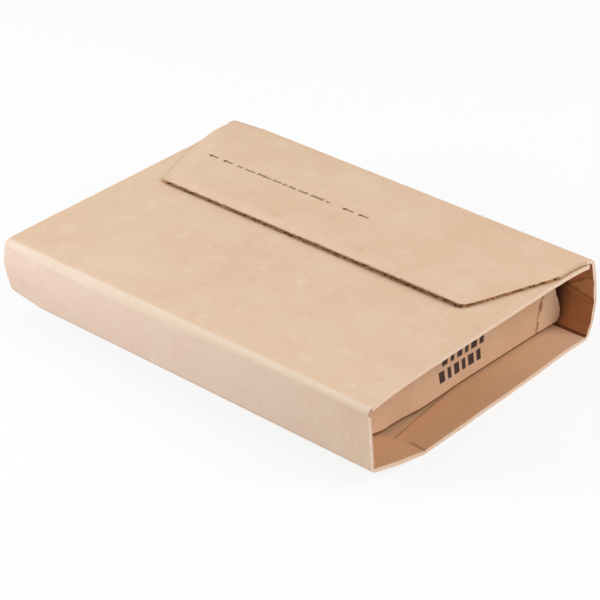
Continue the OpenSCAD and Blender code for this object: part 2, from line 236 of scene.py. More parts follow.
def outer_rows(u):
    """Rows of the outer wrap at shares u of the half length, from the panel's far edge round to the
    flap's free edge: corners joined by straight runs and rounded by parabolas. Gives the points
    of the outer and the inner face, how hard the board is creased at each, and the columns where
    the far wall's foot ends and where the fold ends and the flap begins."""
    x = u * half_l
    side, push = left_share(x), left_push(x)
    at = lambda y, z: np.stack([np.broadcast_to(y, x.shape), np.broadcast_to(z, x.shape)], -1)
    band_share = np.clip((side - band_start) / (1 - band_start), 0, 1)
    band_z = near_h - band_drop - band_swell * np.sin(np.pi * band_share ** band_lean)
    wall_foot_y, wall_foot_z, base_crease_y = near_foot(x)
    top_edge, bottom_edge = at(band_run, near_h), at(0.0, band_z)
    foot, crease = at(wall_foot_y, wall_foot_z), at(base_crease_y, 0.0)
    far_foot, fold = at(far_wall_y(0), 0.0), at(tube_w, fold_z)
    scores = [at(far_wall_y(z), z) for z in score_z]

    panel_start = tube_w - (board_t + flap_room) * reach(u) / flap_reach
    panel_y = lerp(panel_start[:, None], band_run + band_r, np.linspace(0, 1, 44)[None])
    panel = np.stack([panel_y, panel_z(x[:, None], panel_y) + bare_wave(x[:, None], panel_y)], -1)
    upper_bend = bend(panel[:, -1], top_edge, bottom_edge, band_r, 5)
    lower_bend = bend(top_edge, bottom_edge, foot, band_r, 5)
    foot_bend = bend(bottom_edge, foot, crease, (crease_r * (1 + push))[:, None], 9)
    wall = run(lower_bend[:, -1], foot_bend[:, 0], 14)
    belly = near_belly + near_belly_left * ease(0.55, 1.0, side)[:, None]
    wall[..., 0] -= belly * np.sin(np.pi * np.linspace(0, 1, wall.shape[1] + 2)[None, 1:-1])
    crease_bend = bend(foot, crease, far_foot, slope_r, 5)
    far_bend = bend(crease, far_foot, scores[0], crease_r, 9)
    pieces = [(panel, PLAIN), (upper_bend, BAND), (lower_bend, BAND), (wall, PLAIN),
              (foot_bend, CREASED), (run(foot_bend[:, -1], crease_bend[:, 0], 7), PLAIN),
              (crease_bend, CREASED), (run(crease_bend[:, -1], far_bend[:, 0], 9), PLAIN),
              (far_bend, CREASED)]
    foot_end = sum(points.shape[1] for points, _ in pieces)
    corners = [far_foot, *scores, fold]
    for before, corner, after in zip(corners, corners[1:], corners[2:]):
        score = bend(before, corner, after, score_r, 5)
        pieces += [(run(pieces[-1][0][:, -1], score[:, 0], 3), PLAIN), (score, CREASED)]
    flap_x, flap = flap_rows(u)
    fold_bend = bend(scores[-1], fold, flap[:, 0], (fold_r + fold_soft * push)[:, None], 15)
    lead = run(fold_bend[:, -1], flap[:, 0], 3)
    pieces += [(run(pieces[-1][0][:, -1], fold_bend[:, 0], 4), PLAIN), (fold_bend, CREASED),
               (lead, PLAIN), (flap, PLAIN)]

    line = np.concatenate([points for points, _ in pieces], axis=1)
    kind = np.concatenate([np.full(points.shape[1], k) for points, k in pieces])
    flap_start_column = line.shape[1] - flap.shape[1]
    fold_end = flap_start_column - lead.shape[1]
    line_x = np.broadcast_to(x[:, None], line.shape[:2]).copy()
    line_x[:, fold_end:flap_start_column] = run(x[:, None], flap_x[:, :1], lead.shape[1])[..., 0]
    line_x[:, flap_start_column:] = flap_x
    line_x += end_shift(line, u, flap.shape[1])
    crushed = np.array([0, board_t - crease_t, board_t - band_t])[kind]
    crushed = np.convolve(np.pad(crushed, 1, mode="edge"), [0.15, 0.7, 0.15], mode="valid")
    thickness = np.broadcast_to(board_t - crushed, line.shape[:2]).copy()
    pressed = panel_z(flap_x, flap[..., 0]) + flap_gap + board_t - flap[..., 1]
    thickness[:, flap_start_column:] -= press_share * pressed
    faces = [np.concatenate([line_x[..., None], face], -1)
             for face in (line, inner_face(line, thickness))]
    return *faces, kind, (foot_end, fold_end, flap_start_column)


def grid_faces(m, n, start=0):
    """Corner numbers of the quads of a grid of m rows and n columns."""
    k = start + (np.arange(m - 1)[:, None] * n + np.arange(n - 1)[None]).ravel()
    return np.stack([k, k + n, k + n + 1, k + 1], -1)


def sheet_object(name, patches, weld=0.002):
    """One closed mesh from grids of points in millimetres. Each patch is (grid, material, turned),
    and grids that share a border are welded there."""
    points, faces, finish, start = [], [], [], 0
    materials = list(dict.fromkeys(material for _, material, _ in patches))
    for grid, material, turned in patches:
        quads = grid_faces(*grid.shape[:2], start)
        points.append(grid.reshape(-1, 3))
        faces.append(quads[:, ::-1] if turned else quads)
        finish.append(np.full(len(quads), materials.index(material)))
        start += grid.shape[0] * grid.shape[1]
    points, faces, finish = np.concatenate(points), np.concatenate(faces), np.concatenate(finish)
    points[:, 1] -= y_mid
    _, first, place = np.unique(np.round(points / weld), axis=0, return_index=True,
                                return_inverse=True)
    points, faces = points[first], place.reshape(-1)[faces]
    sides = (faces != np.roll(faces, 1, axis=1)).sum(1)
    faces, finish = faces[sides > 2], finish[sides > 2]
    corners = [list(dict.fromkeys(quad)) for quad in faces.tolist()]
    mesh = bpy.data.meshes.new(name)
    mesh.from_pydata((points * MM).tolist(), [], corners)
    mesh.polygons.foreach_set("material_index", finish.astype(np.int32))
    mesh.polygons.foreach_set("use_smooth", np.ones(len(corners), bool))
    mesh.update()
    mesh.set_sharp_from_angle(angle=np.radians(38))
    for material in materials:
        mesh.materials.append(material)
    piece = bpy.data.objects.new(name, mesh)
    bpy.context.scene.collection.objects.link(piece)
    return piece


def rgb(code):
    """A written sRGB colour as the linear colour that the shaders use."""
    c = np.array([int(code[i:i + 2], 16) for i in (0, 2, 4)]) / 255
    return (*np.where(c <= 0.04045, c / 12.92, ((c + 0.055) / 1.055) ** 2.4), 1.0)


def node(tree, kind, links=(), **values):
    """A shader node with its settings, and its inputs linked or set by name or number."""
    made = tree.nodes.new(kind)
    for key, value in values.items():
        setattr(made, key, value)
    for key, value in dict(links).items():
        if isinstance(value, bpy.types.NodeSocket):
            tree.links.new(value, made.inputs[key])
        else:
            made.inputs[key].default_value = value
    return made


def kraft_group():
    """Kraft paper, used by every board: a slow cloudy tone, long fibres that lie along the paper
    web, dark flecks, and the flutes that show through as faint ridges."""
    group = bpy.data.node_groups.new("kraft_paper", "ShaderNodeTree")
    for name, value in (("Cloud scale", 14.0), ("Fibre scale", 420.0), ("Fleck scale", 700.0),
                        ("Flute pitch", 0.008)):
        socket = group.interface.new_socket(name, in_out="INPUT", socket_type="NodeSocketFloat")
        socket.default_value = value
    for name in ("Cloud", "Fibre", "Fleck", "Flute", "Height"):
        group.interface.new_socket(name, in_out="OUTPUT", socket_type="NodeSocketFloat")
    given = node(group, "NodeGroupInput")
    place = node(group, "ShaderNodeTexCoord").outputs["Object"]
    cloud = node(group, "ShaderNodeTexNoise", {"Vector": place, "Scale": given.outputs["Cloud scale"],
                                               "Detail": 5.0, "Roughness": 0.6})
    drawn = node(group, "ShaderNodeMapping", {"Vector": place, "Scale": (0.4, 1.0, 1.0)})
    fibre = node(group, "ShaderNodeTexNoise", {"Vector": drawn.outputs[0],
                                               "Scale": given.outputs["Fibre scale"],
                                               "Detail": 4.0, "Roughness": 0.65})
    fleck = node(group, "ShaderNodeTexNoise", {"Vector": drawn.outputs[0],
                                               "Scale": given.outputs["Fleck scale"], "Detail": 2.0})
    fleck_mask = node(group, "ShaderNodeMapRange", {"Value": fleck.outputs[0], "From Min": 0.66,
                                                    "From Max": 0.78})
    x = node(group, "ShaderNodeSeparateXYZ", {0: place}).outputs["X"]
    turns = node(group, "ShaderNodeMath", {0: x, 1: given.outputs["Flute pitch"]}, operation="DIVIDE")
    angle = node(group, "ShaderNodeMath", {0: turns.outputs[0], 1: 2 * np.pi}, operation="MULTIPLY")
    flute = node(group, "ShaderNodeMath", {0: angle.outputs[0]}, operation="COSINE")
    ridge = node(group, "ShaderNodeMath", {0: flute.outputs[0], 1: 0.5, 2: 0.5},
                 operation="MULTIPLY_ADD")
    height = node(group, "ShaderNodeMath", {0: fibre.outputs[0], 1: 0.35, 2: ridge.outputs[0]},
                  operation="MULTIPLY_ADD")
    node(group, "NodeGroupOutput", {"Cloud": cloud.outputs[0], "Fibre": fibre.outputs[0],
                                    "Fleck": fleck_mask.outputs[0], "Flute": ridge.outputs[0],
                                    "Height": height.outputs[0]})
    return group


kraft_paper = kraft_group()


def mixed(tree, factor, a, b):
    """A colour between a and b, each a socket or a written colour."""
    made = tree.nodes.new("ShaderNodeMix")
    made.data_type = "RGBA"
    for socket, value in ((made.inputs[0], factor), (made.inputs[6], a), (made.inputs[7], b)):
        if isinstance(value, bpy.types.NodeSocket):
            tree.links.new(value, socket)
        else:
            socket.default_value = rgb(value) if isinstance(value, str) else value
    return made.outputs[2]


def ranged(tree, value, low, high, to_low, to_high):
    """A value carried from one range to another and held at its ends."""
    return node(tree, "ShaderNodeMapRange", {"Value": value, "From Min": low, "From Max": high,
                                             "To Min": to_low, "To Max": to_high}).outputs[0]


def new_material(name):
    """A material with its node tree and its Principled shader."""
    material = bpy.data.materials.new(name)
    material.use_nodes = True
    return material, material.node_tree, material.node_tree.nodes["Principled BSDF"]


def kraft_material(name, light, mid, dark, cloud=14.0, fibre=520.0, pitch=flute_pitch * MM,
                   flute_show=0.03, relief=0.00002):
    """Brown kraft liner: its tone drifts between two browns, fibres and flecks lie in it, and
    fibres and flutes give it a slight relief."""
    material, tree, shader = new_material(name)
    paper = node(tree, "ShaderNodeGroup", node_tree=kraft_paper)
    for key, value in (("Cloud scale", cloud), ("Fibre scale", fibre), ("Fleck scale", fibre * 1.7),
                       ("Flute pitch", pitch)):
        paper.inputs[key].default_value = value
    tone = mixed(tree, ranged(tree, paper.outputs["Cloud"], 0.3, 0.7, 0, 1), mid, light)
    fibrous = mixed(tree, ranged(tree, paper.outputs["Fibre"], 0.4, 0.75, 0.0, 0.16), tone, dark)
    flecked = mixed(tree, ranged(tree, paper.outputs["Fleck"], 0, 1, 0, 0.3), fibrous, dark)
    fluted = mixed(tree, ranged(tree, paper.outputs["Flute"], 0, 1, 0, flute_show), flecked, dark)
    tree.links.new(fluted, shader.inputs["Base Color"])
    rough = ranged(tree, paper.outputs["Fibre"], 0.3, 0.8, 0.74, 0.92)
    tree.links.new(rough, shader.inputs["Roughness"])
    bump = node(tree, "ShaderNodeBump", {"Height": paper.outputs["Height"], "Distance": relief,
                                         "Strength": 1.0})
    tree.links.new(bump.outputs[0], shader.inputs["Normal"])
    shader.inputs["Specular IOR Level"].default_value = 0.25
    return material


def wobbled(tree, scale, amount):
    """Object coordinates moved to and fro by noise, for marks with an uneven outline."""
    place = node(tree, "ShaderNodeTexCoord").outputs["Object"]
    noise = node(tree, "ShaderNodeTexNoise", {"Vector": place, "Scale": scale, "Detail": 3.0})
    centred = node(tree, "ShaderNodeVectorMath", {0: noise.outputs["Color"], 1: (0.5, 0.5, 0.5)},
                   operation="SUBTRACT")
    return node(tree, "ShaderNodeVectorMath", {0: centred.outputs[0], 1: (amount,) * 3, 2: place},
                operation="MULTIPLY_ADD").outputs[0]


def along(tree, place, way):
    """How far a place lies along a way: x, y and z times the way's three numbers, added up."""
    dot = node(tree, "ShaderNodeVectorMath", {0: place, 1: way}, operation="DOT_PRODUCT")
    return dot.outputs["Value"]


def narrow_line(tree, place, way, at, half):
    """1 on the line where the place lies `at` along the way, 0 at more than half a width from it."""
    off = node(tree, "ShaderNodeMath", {0: along(tree, place, way), 1: at}, operation="SUBTRACT")
    away = node(tree, "ShaderNodeMath", {0: off.outputs[0]}, operation="ABSOLUTE")
    return ranged(tree, away.outputs[0], 0.3 * half, half, 1, 0)


def product(tree, *factors):
    """Several masks multiplied."""
    value = factors[0]
    for factor in factors[1:]:
        value = node(tree, "ShaderNodeMath", {0: value, 1: factor}, operation="MULTIPLY").outputs[0]
    return value


def tint(material, factor, colour):
    """Lays a colour over the material's own where the mask is 1."""
    tree = material.node_tree
    target = tree.nodes["Principled BSDF"].inputs["Base Color"]
    tree.links.new(mixed(tree, factor, target.links[0].from_socket, colour), target)


x_way, y_way, z_way = (1, 0, 0), (0, 1, 0), (0, 0, 1)
kraft_light, kraft_mid, kraft_dark = "e9ccb0", "e3c3a5", "c79d7a"
liner = kraft_material("outer_liner", kraft_light, kraft_mid, kraft_dark)
# The crease band's paler browns are a painted highlight where the near crease turns to the light.
crease_band = kraft_material("outer_crease_band", "eed9c2", "e9d1b8", "d0ad8c", cloud=40.0)
inside = kraft_material("inside_liner", "e0b590", "d6aa84", "a87c5a", cloud=11.0)
# The far wall's inside is painted a darker, redder brown: painted shade and the warm light that the
# kraft around it throws back.
inside_far = kraft_material("inside_far_wall", "d39468", "c4845a", "8a5535", cloud=24.0)
# The inside of the crease between the base and the far wall is painted dark: painted shade in that
# corner.
inside_crease = kraft_material("inside_crease", "8a5a3a", "6e4428", "4a2a18", cloud=160.0)
# The cut edges are paler than the liner: a painted highlight where they catch the light.
cut_edge = kraft_material("outer_cut_edge", "fde6d2", "fadcc3", "d9ae88", cloud=90.0, fibre=900.0,
                          flute_show=0.0, relief=0.0001)
flute_paper = kraft_material("outer_fluting", "cc9a66", "ad7645", "6e401e", cloud=320.0,
                             flute_show=0.0)

# Handling has left pale and dark scuffs on the outer liner. The near wall's side of it is painted paler
# and pinker towards its left end: painted light from the front left.
tree = liner.node_tree
scuffs = node(tree, "ShaderNodeTexNoise", {"Vector": wobbled(tree, 60.0, 0.02), "Scale": 55.0,
                                           "Detail": 6.0, "Roughness": 0.7})
tint(liner, ranged(tree, scuffs.outputs[0], 0.56, 0.7, 0, 0.35), "f2dac2")
tint(liner, ranged(tree, scuffs.outputs[0], 0.42, 0.3, 0, 0.3), "d3b08d")
place = node(tree, "ShaderNodeTexCoord").outputs["Object"]
near_side = product(tree, ranged(tree, along(tree, place, y_way), -0.1500, -0.1475, 1, 0),
                    ranged(tree, along(tree, place, x_way), 0.08, 0.19, 0.25, 0))
tint(liner, near_side, "f0d6cb")

# The pressed band under the near crease, with its painted highlight, fades into the liner in its lower
# part, most at the right
tree = crease_band.node_tree
place = wobbled(tree, 90.0, 0.003)
low_part = ranged(tree, along(tree, place, z_way), (near_h - 2.8) * MM, (near_h - 1.2) * MM, 1, 0)
right_part = ranged(tree, along(tree, place, x_way), -0.13, 0.02, 0.2, 1)
tint(crease_band, product(tree, low_part, right_part), kraft_light)

# On the base, in front of the inner wrap's foot, lies a greyish strip with a thin dark line beside it,
# painted contact shadow where the foot's toe meets the base, and a short kink runs in from the end
# edge, drawn as a dark line of painted shade. Further in, the base is painted paler: painted light.
tree = inside.node_tree
place = wobbled(tree, 300.0, 0.002)
x_here, y_here = along(tree, place, x_way), along(tree, place, y_way)
strip_way, strip_x, line_w, kink_w = (1.0, 0.105, 0.0), 0.1664, 0.001, 0.0022
near_right = product(tree, ranged(tree, y_here, -0.090, -0.084, 0, 1),
                     ranged(tree, x_here, 0.16, 0.161, 0, 1))
strip = ranged(tree, along(tree, place, strip_way), strip_x - line_w, strip_x, 0.5, 0)
tint(inside, product(tree, near_right, strip), "c6ad90")
tint(inside, product(tree, near_right, narrow_line(tree, place, strip_way, strip_x, line_w),
                     ranged(tree, y_here, -0.02, 0.03, 0.6, 0)), "8a6242")
tint(inside, ranged(tree, y_here, 0.0, 0.13, 0, 0.6), "f0cdb0")
kink = product(tree, narrow_line(tree, place, (0.096, 1, 0), -0.0645, kink_w),
               ranged(tree, x_here, 0.184, 0.194, 0, 0.6))
tint(inside, kink, "94684a")

# The far wall has two wrinkles that part from its end edge, paler between them and drawn as dark lines
# of painted shade. Behind the inner wrap's edge it is painted darker still: painted shade.
tree = inside_far.node_tree
place = wobbled(tree, 120.0, 0.006)
upper_way, lower_way = (0.214, 0, 1), (-0.627, 0, 1)
between = product(tree, ranged(tree, along(tree, place, upper_way), 0.078, 0.083, 0, 1),
                  ranged(tree, along(tree, place, lower_way), -0.070, -0.064, 1, 0))
tint(inside_far, product(tree, between, 0.6), "e0a87c")
tint(inside_far, ranged(tree, along(tree, place, x_way), 0.168, 0.182, 0.6, 0), "4a2c1c")
for way, at in ((upper_way, 0.0803), (lower_way, -0.0674)):
    tint(inside_far, product(tree, narrow_line(tree, place, way, at, kink_w), 0.5), "7a4426")

# The die's cut through the flap's edges is torn brown paper with dark holes in it. Its darker brown is
# partly the paper and partly painted shade on the serrated cut, and the dark holes are painted shade in
# the open flutes.
flap_cut = kraft_material("flap_cut_edge", "c79a6c", "ab7748", "6e401e", cloud=420.0, fibre=900.0,
                          flute_show=0.0)
tree = flap_cut.node_tree
torn = node(tree, "ShaderNodeTexNoise", {"Vector": wobbled(tree, 700.0, 0.002), "Scale": 300.0,
                                         "Detail": 4.0, "Roughness": 0.7})
tint(flap_cut, ranged(tree, torn.outputs[0], 0.51, 0.56, 0, 0.85), "4c2712")
tint(flap_cut, ranged(tree, torn.outputs[0], 0.45, 0.38, 0, 0.8), "dcb48a")

# The top liner is torn along the free edge, with brown fibres that stand out of it. The same brown band
# runs onto the panel just in front of the edge as a painted shadow under it.
tree = liner.node_tree
place = wobbled(tree, 450.0, 0.0045)
x_here, height = along(tree, place, x_way), along(tree, place, z_way)
tear_and_shadow_line = narrow_line(tree, place, (0.5 * flap_skew / half_l, 1, 0),
                         (tube_w - flap_reach - y_mid) * MM, 0.0013)
left_corner, right_corner = (corner_left - half_l) * MM, (half_l - corner_inset) * MM
tear_and_shadow_part = product(tree, tear_and_shadow_line, ranged(tree, height, 0.066, 0.068, 0, 0.7),
                    ranged(tree, x_here, left_corner, left_corner + 0.004, 0, 1),
                    ranged(tree, x_here, right_corner - 0.004, right_corner, 1, 0))
tint(liner, tear_and_shadow_part, "8e5f38")

ends = np.sin(np.linspace(-np.pi / 2, np.pi / 2, 33))
u_rows = np.unique(np.round(np.concatenate([np.linspace(-1, 1, 151), ends]), 4))
outer, under, crush, (foot_end, fold_end, flap_column) = outer_rows(u_rows)
shoulder_column = flap_column + to_shoulder_n - 1
band_a, band_b = np.flatnonzero(crush == BAND)[[0, -1]]
foot_a, foot_b = foot_end - 8, foot_end - 3
patches = [(outer[:, :band_a + 1], liner, False), (outer[:, band_a:band_b + 1], crease_band, False),
           (outer[:, band_b:], liner, False), (under[:, :foot_a + 1], inside, True),
           (under[:, foot_a:foot_b + 1], inside_crease, True),
           (under[:, foot_b:fold_end + 1], inside_far, True), (under[:, fold_end:], inside, True)]

# The cut edges at the two ends and at the panel's far edge: two liners with the crushed edge of
# the fluting a little behind them, and a small open notch where the near crease is folded.
layers = np.array([0, liner_t, liner_t, board_t - liner_t, board_t - liner_t, board_t]) / board_t
sunk = np.array([0, 0, 1, 1, 0, 0])
for row, inward in ((0, 1), (-1, -1)):
    rim = lerp(outer[row, None], under[row, None], layers[:, None, None])
    depth = np.where(crush == BAND, notch_depth, end_recess)
    rim[..., 0] += inward * sunk[:, None] * depth
    patches.append((rim[:, :fold_end + 1], cut_edge, row == -1))
    patches.append((rim[:4, fold_end:shoulder_column + 1], liner, row == -1))
    patches.append((rim[3:, fold_end:shoulder_column + 1], flap_cut, row == -1))
rim = lerp(outer[:, 0][None], under[:, 0][None], layers[:, None, None])
rim[..., 1] -= sunk[:, None] * end_recess
patches.append((rim, cut_edge, False))

# The flap's slanted sides and free edge cross the flutes, so the liners stand over a groove. It
# is deep in the free edge and dies out at the left side, which is pressed nearly shut.
edge_out, edge_in = (np.concatenate([face[-1, shoulder_column:], face[-2:0:-1, -1],
                                     face[0, :shoulder_column - 1:-1]]) for face in (outer, under))
edge_x, edge_d = edge_out[:, 0], tube_w - edge_out[:, 1]
slant_part = ease(shoulder, shoulder + 14, edge_d) * ease(-175, -140, edge_x)
free_part = (ease(flap_reach - 15, flap_reach - 7, edge_d)
             * (ease(half_l - corner_inset - 2, half_l - corner_inset - 13, edge_x)
                * ease(corner_left + 2 - half_l, corner_left + 30 - half_l, edge_x)))
groove = lerp(lerp(0.3 * end_recess, slant_depth, slant_part), flute_depth, free_part)
rim = lerp(edge_out[None], edge_in[None], layers[[0, 1, 1, 1, 1, 3, 3, 3, 3, 5], None, None])
depth = groove * np.array([0, 0, 1, 2, 3, 3, 2, 1, 0, 0])[:, None] / 3
rim[..., 1] += depth
rim[..., 2] += flap_z(edge_x, edge_out[:, 1] + depth) - flap_z(edge_x, edge_out[:, 1])
patches.append((rim, flap_cut, True))

# The fluting lies in the deep part of the groove as a waved ribbon with a jagged cut edge
steps = np.concatenate([[0], np.cumsum(np.linalg.norm(np.diff(edge_out, axis=0), axis=1))])
at_edge = steps[groove > flute_depth - 0.1]
fine = np.arange(at_edge[0], at_edge[-1], 0.8)
trail_x, trail_y = (np.interp(fine, steps, edge_out[:, i]) for i in (0, 1))
tooth = 0.5 + 0.9 * np.sin(fine * 2.1) * np.sin(fine * 0.83 + 1.0)
into = np.interp(fine, steps, groove) + 0.5
y = trail_y + np.stack([tooth, lerp(tooth, into, 0.5), into])
x = np.broadcast_to(trail_x, y.shape)
board = board_t - press_share * (panel_z(x, y) + flap_gap + board_t - flap_z(x, y))
swing = (board - 2 * liner_t - medium_t) / 2
ribbon_z = flap_z(x, y) - board / 2 + swing * np.cos(2 * np.pi * x / flute_pitch)
above, below = (np.stack([x, y, ribbon_z + face * medium_t], -1) for face in (0.5, -0.5))
patches += [(above, flute_paper, True), (below, flute_paper, False),
            (np.stack([above[0], below[0]]), flap_cut, False),
            (np.stack([above[-1], below[-1]]), flute_paper, True),
            (np.stack([above[:, 0], below[:, 0]]), flute_paper, True),
            (np.stack([above[:, -1], below[:, -1]]), flute_paper, False)]

outer_board = sheet_object("outer_board", patches)
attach(outer_board, "root")
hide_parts("outer_wrap")

# The inner wrap is one sheet of thinner board with fine flutes that crosses the outer one. Its
# floor lies glued on the base, its end walls stand back from the open ends, and its end flaps lie
# under the top panel. The right wall has buckled at its far edge.
thin_t, thin_r, slip, slope_play, glue_t = 1.8, 3.0, 0.8, 0.6, 0.4
near_edge, far_edge = foot_y[0] + board_t + slip, far_wall_y(0) - board_t - slip
left_x, recess_near, recess_far = 37.5 - half_l, 44.0, 31.0
meeting_gap, buckle_l, buckle_out, buckle_in = 10.0, 34.0, 3.0, 7.0
thin_light, thin_mid, thin_dark = "e4c0a2", "dab392", "b88d68"


def floor_z(x, y):
    """Lowest place of the inner floor: on the base, and along its slope at the near side."""
    wall_foot_y, wall_foot_z, crease = near_foot(x)
    m = wall_foot_z / (crease - wall_foot_y)
    slope = (crease - y) * m + board_t * np.sqrt(1 + m * m) + slope_play
    return np.maximum(board_t, slope) + glue_t


def wall_out(y, z):
    """How far the right wall stands out of its plane: all along its foot, and past a slanted fold
    out at mid height and in at the top corner, with a small crease at the fold and crumples past it."""
    up = np.clip(z / near_h, 0, 1)
    foot_out = np.interp(y, [56, 75, 92, 113, 137, 165, 294], [5, 2.6, 3, 5, 4.2, 2.8, 1.2])
    buckled = buckle_l * lerp(0.8, 0.25, up)
    to_fold = buckled - (far_edge - y)
    past = np.clip(to_fold / buckled, 0, 1)
    buckle = past * (buckle_out * np.sin(np.pi * up) - buckle_in * up ** 3)
    crumple = 0.5 * past * ragged(y * 0.9 + z * 1.3)
    crease = -0.9 * np.exp(-((to_fold - 1.5 * np.sin(z * 0.35)) / 2.2) ** 2) * np.sin(np.pi * up)
    return foot_out * ease(32, 4, z) + buckle + crumple + crease


def far_lean(z):
    """How far the right wall's far edge swings on towards the far wall at each height."""
    lean = np.interp(z, [4, 10, 15, 23, 41, 60], [1.5, 3.8, 5.2, 4.0, -3.0, -5.0])
    return lean + 0.5 * ragged(z * 2.0)


def end_wall_x(y):
    """Plane of the right end wall: it stands askew, further back at the near side."""
    return half_l - lerp(recess_near, recess_far, y / tube_w)


def inner_rows(y):
    """Rows of the inner wrap at distances y from the near crease, from the left top flap's end
    round to the right one's: corners joined by straight runs and rounded by parabolas. Gives the
    points of the outer and the inner face, and the column where the right wall's foot begins."""
    at = lambda x, z: np.stack([np.broadcast_to(x, y.shape), np.broadcast_to(z, y.shape)], -1)
    across = np.clip((y - band_run) / (tube_w - band_run), 0, 1)
    top = lerp(near_h, far_h, across) - board_t * 1.01 - slip
    right_x = end_wall_x(y)
    mid_x = (left_x + right_x) / 2
    left_z, right_z = floor_z(np.full_like(y, left_x), y), floor_z(right_x, y)
    left_top, left_foot = at(left_x, top), at(left_x, left_z)
    right_top = at(right_x + wall_out(y, top), top)
    right_foot = at(right_x + wall_out(y, right_z), right_z)
    share = np.linspace(0, 1, 34)[None, 1:-1]
    floor_x = lerp(left_x + thin_r, (right_foot[:, 0] - thin_r)[:, None], share)
    floor = np.stack([floor_x, floor_z(floor_x, y[:, None])], -1)
    up_left = bend(left_top, left_foot, floor[:, 0], thin_r, 7)
    low = lerp(right_z[:, None] + thin_r, (top - thin_r)[:, None], np.linspace(0, 1, 26)[None])
    wall = np.stack([right_x[:, None] + wall_out(y[:, None], low), low], -1)
    over_left = bend(at(mid_x, top), left_top, left_foot, thin_r, 7)
    left_end, right_end = at(mid_x - meeting_gap / 2, top), at(mid_x + meeting_gap / 2, top)
    parts = [left_end[:, None], run(left_end, over_left[:, 0], 6), over_left,
             run(over_left[:, -1], up_left[:, 0], 8), up_left, floor[:, 1:-1],
             bend(floor[:, -1], right_foot, wall[:, 0], thin_r, 7), wall[:, 1:-1],
             bend(wall[:, -1], right_top, at(mid_x, top), thin_r, 7)]
    parts += [run(parts[-1][:, -1], right_end, 6), right_end[:, None]]
    line = np.concatenate(parts, axis=1)
    below = inner_face(line, np.full(line.shape[:2], thin_t))
    on_wall = ease(-8, 0, line[..., 0] - right_x[:, None]) * ease(far_edge - 18, far_edge, y)[:, None]
    across_y = y[:, None] + on_wall * far_lean(line[..., 1])
    foot = sum(part.shape[1] for part in parts[:6])
    return *(np.stack([face[..., 0], across_y, face[..., 1]], -1) for face in (line, below)), foot


flat_end = far_edge - buckle_l
y_rows = np.concatenate([np.linspace(near_edge, 84, 30)[:-1], np.linspace(84, flat_end, 26)[:-1],
                         np.linspace(flat_end, far_edge, 34)])
face_out, face_in, foot = inner_rows(y_rows)
thin_liner = kraft_material("inner_liner", thin_light, thin_mid, thin_dark, cloud=17.0, pitch=0.0012,
                            flute_show=0.0)
thin_edge = kraft_material("inner_cut_edge", "d9b593", "c9a27c", "8a6040", cloud=90.0, fibre=900.0,
                           flute_show=0.0)
# The inner wrap's foot crease is painted dark brown: painted shade where the fold meets the base.
foot_crease = kraft_material("inner_foot_crease", "9a6b46", "714726", "482a15", cloud=180.0)

# Past the slanted fold the right wall's liner is painted paler, a painted highlight where the bent
# corner turns to the light, and the fold itself is painted darker: painted shade in its valley.
tree = thin_liner.node_tree
place = wobbled(tree, 110.0, 0.009)
right_only = ranged(tree, along(tree, place, x_way), 0.13, 0.14, 0, 1)
fold_way, fold_at = (0, 1, -0.243), (far_edge - y_mid - 0.8 * buckle_l) * MM
lit_past_fold = ranged(tree, along(tree, place, fold_way), fold_at, fold_at + 0.003, 0, 0.6)
tint(thin_liner, product(tree, right_only, lit_past_fold), "ecccae")
fold_line = narrow_line(tree, place, fold_way, fold_at, 0.0018)
tint(thin_liner, product(tree, right_only, fold_line, 0.8), "9a6d48")

patches = [(face_out[:, :foot + 2], thin_liner, True),
           (face_out[:, foot + 1:foot + 7], foot_crease, True),
           (face_out[:, foot + 6:], thin_liner, True), (face_in, thin_liner, False)]
for row, turned in ((0, True), (-1, False)):
    patches.append((np.stack([face_out[row], face_in[row]]), thin_edge, turned))
for column, turned in ((0, False), (-1, True)):
    patches.append((np.stack([face_out[:, column], face_in[:, column]]), thin_edge, turned))
inner_board = sheet_object("inner_board", patches)
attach(inner_board, "root")
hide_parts("inner_wrap")

# The adhesive strip that seals the flap is a film of hot-melt glue, amber and slightly glossy,
# and the glue lines under the inner floor are the same glue, rolled on and set.
for name, clear, deep in (("seal_strip", "e9d3a2", "d1b071"), ("floor_glue", "e4cc98", "c7a566")):
    glue, tree, shader = new_material(name + "_glue")
    place = node(tree, "ShaderNodeTexCoord").outputs["Object"]
    streak = node(tree, "ShaderNodeTexNoise", {"Vector": place, "Scale": 160.0, "Detail": 3.0})
    tree.links.new(mixed(tree, streak.outputs[0], clear, deep), shader.inputs["Base Color"])
    tree.links.new(ranged(tree, streak.outputs[0], 0.3, 0.7, 0.3, 0.5), shader.inputs["Roughness"])
    skin = node(tree, "ShaderNodeBump", {"Height": streak.outputs[0], "Distance": 0.00008})
    tree.links.new(skin.outputs[0], shader.inputs["Normal"])
    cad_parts[name].data.materials.clear()
    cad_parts[name].data.materials.append(glue)

# The tear tape is a narrow band of milky polypropylene film with fine threads along it, stuck
# under the flap behind the printed row.
tape, tree, shader = new_material("tear_tape_film")
place = node(tree, "ShaderNodeTexCoord").outputs["Object"]
threads = node(tree, "ShaderNodeTexWave", {"Vector": place, "Scale": 160.0, "Distortion": 0.4},
               bands_direction="Y")
tree.links.new(mixed(tree, threads.outputs["Fac"], "efeae0", "d8d0c2"), shader.inputs["Base Color"])
tree.links.new(ranged(tree, threads.outputs["Fac"], 0, 1, 0.22, 0.4), shader.inputs["Roughness"])
ribs = node(tree, "ShaderNodeBump", {"Height": threads.outputs["Fac"], "Distance": 0.00005})
tree.links.new(ribs.outputs[0], shader.inputs["Normal"])
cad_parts["tear_tape"].data.materials.clear()
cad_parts["tear_tape"].data.materials.append(tape)

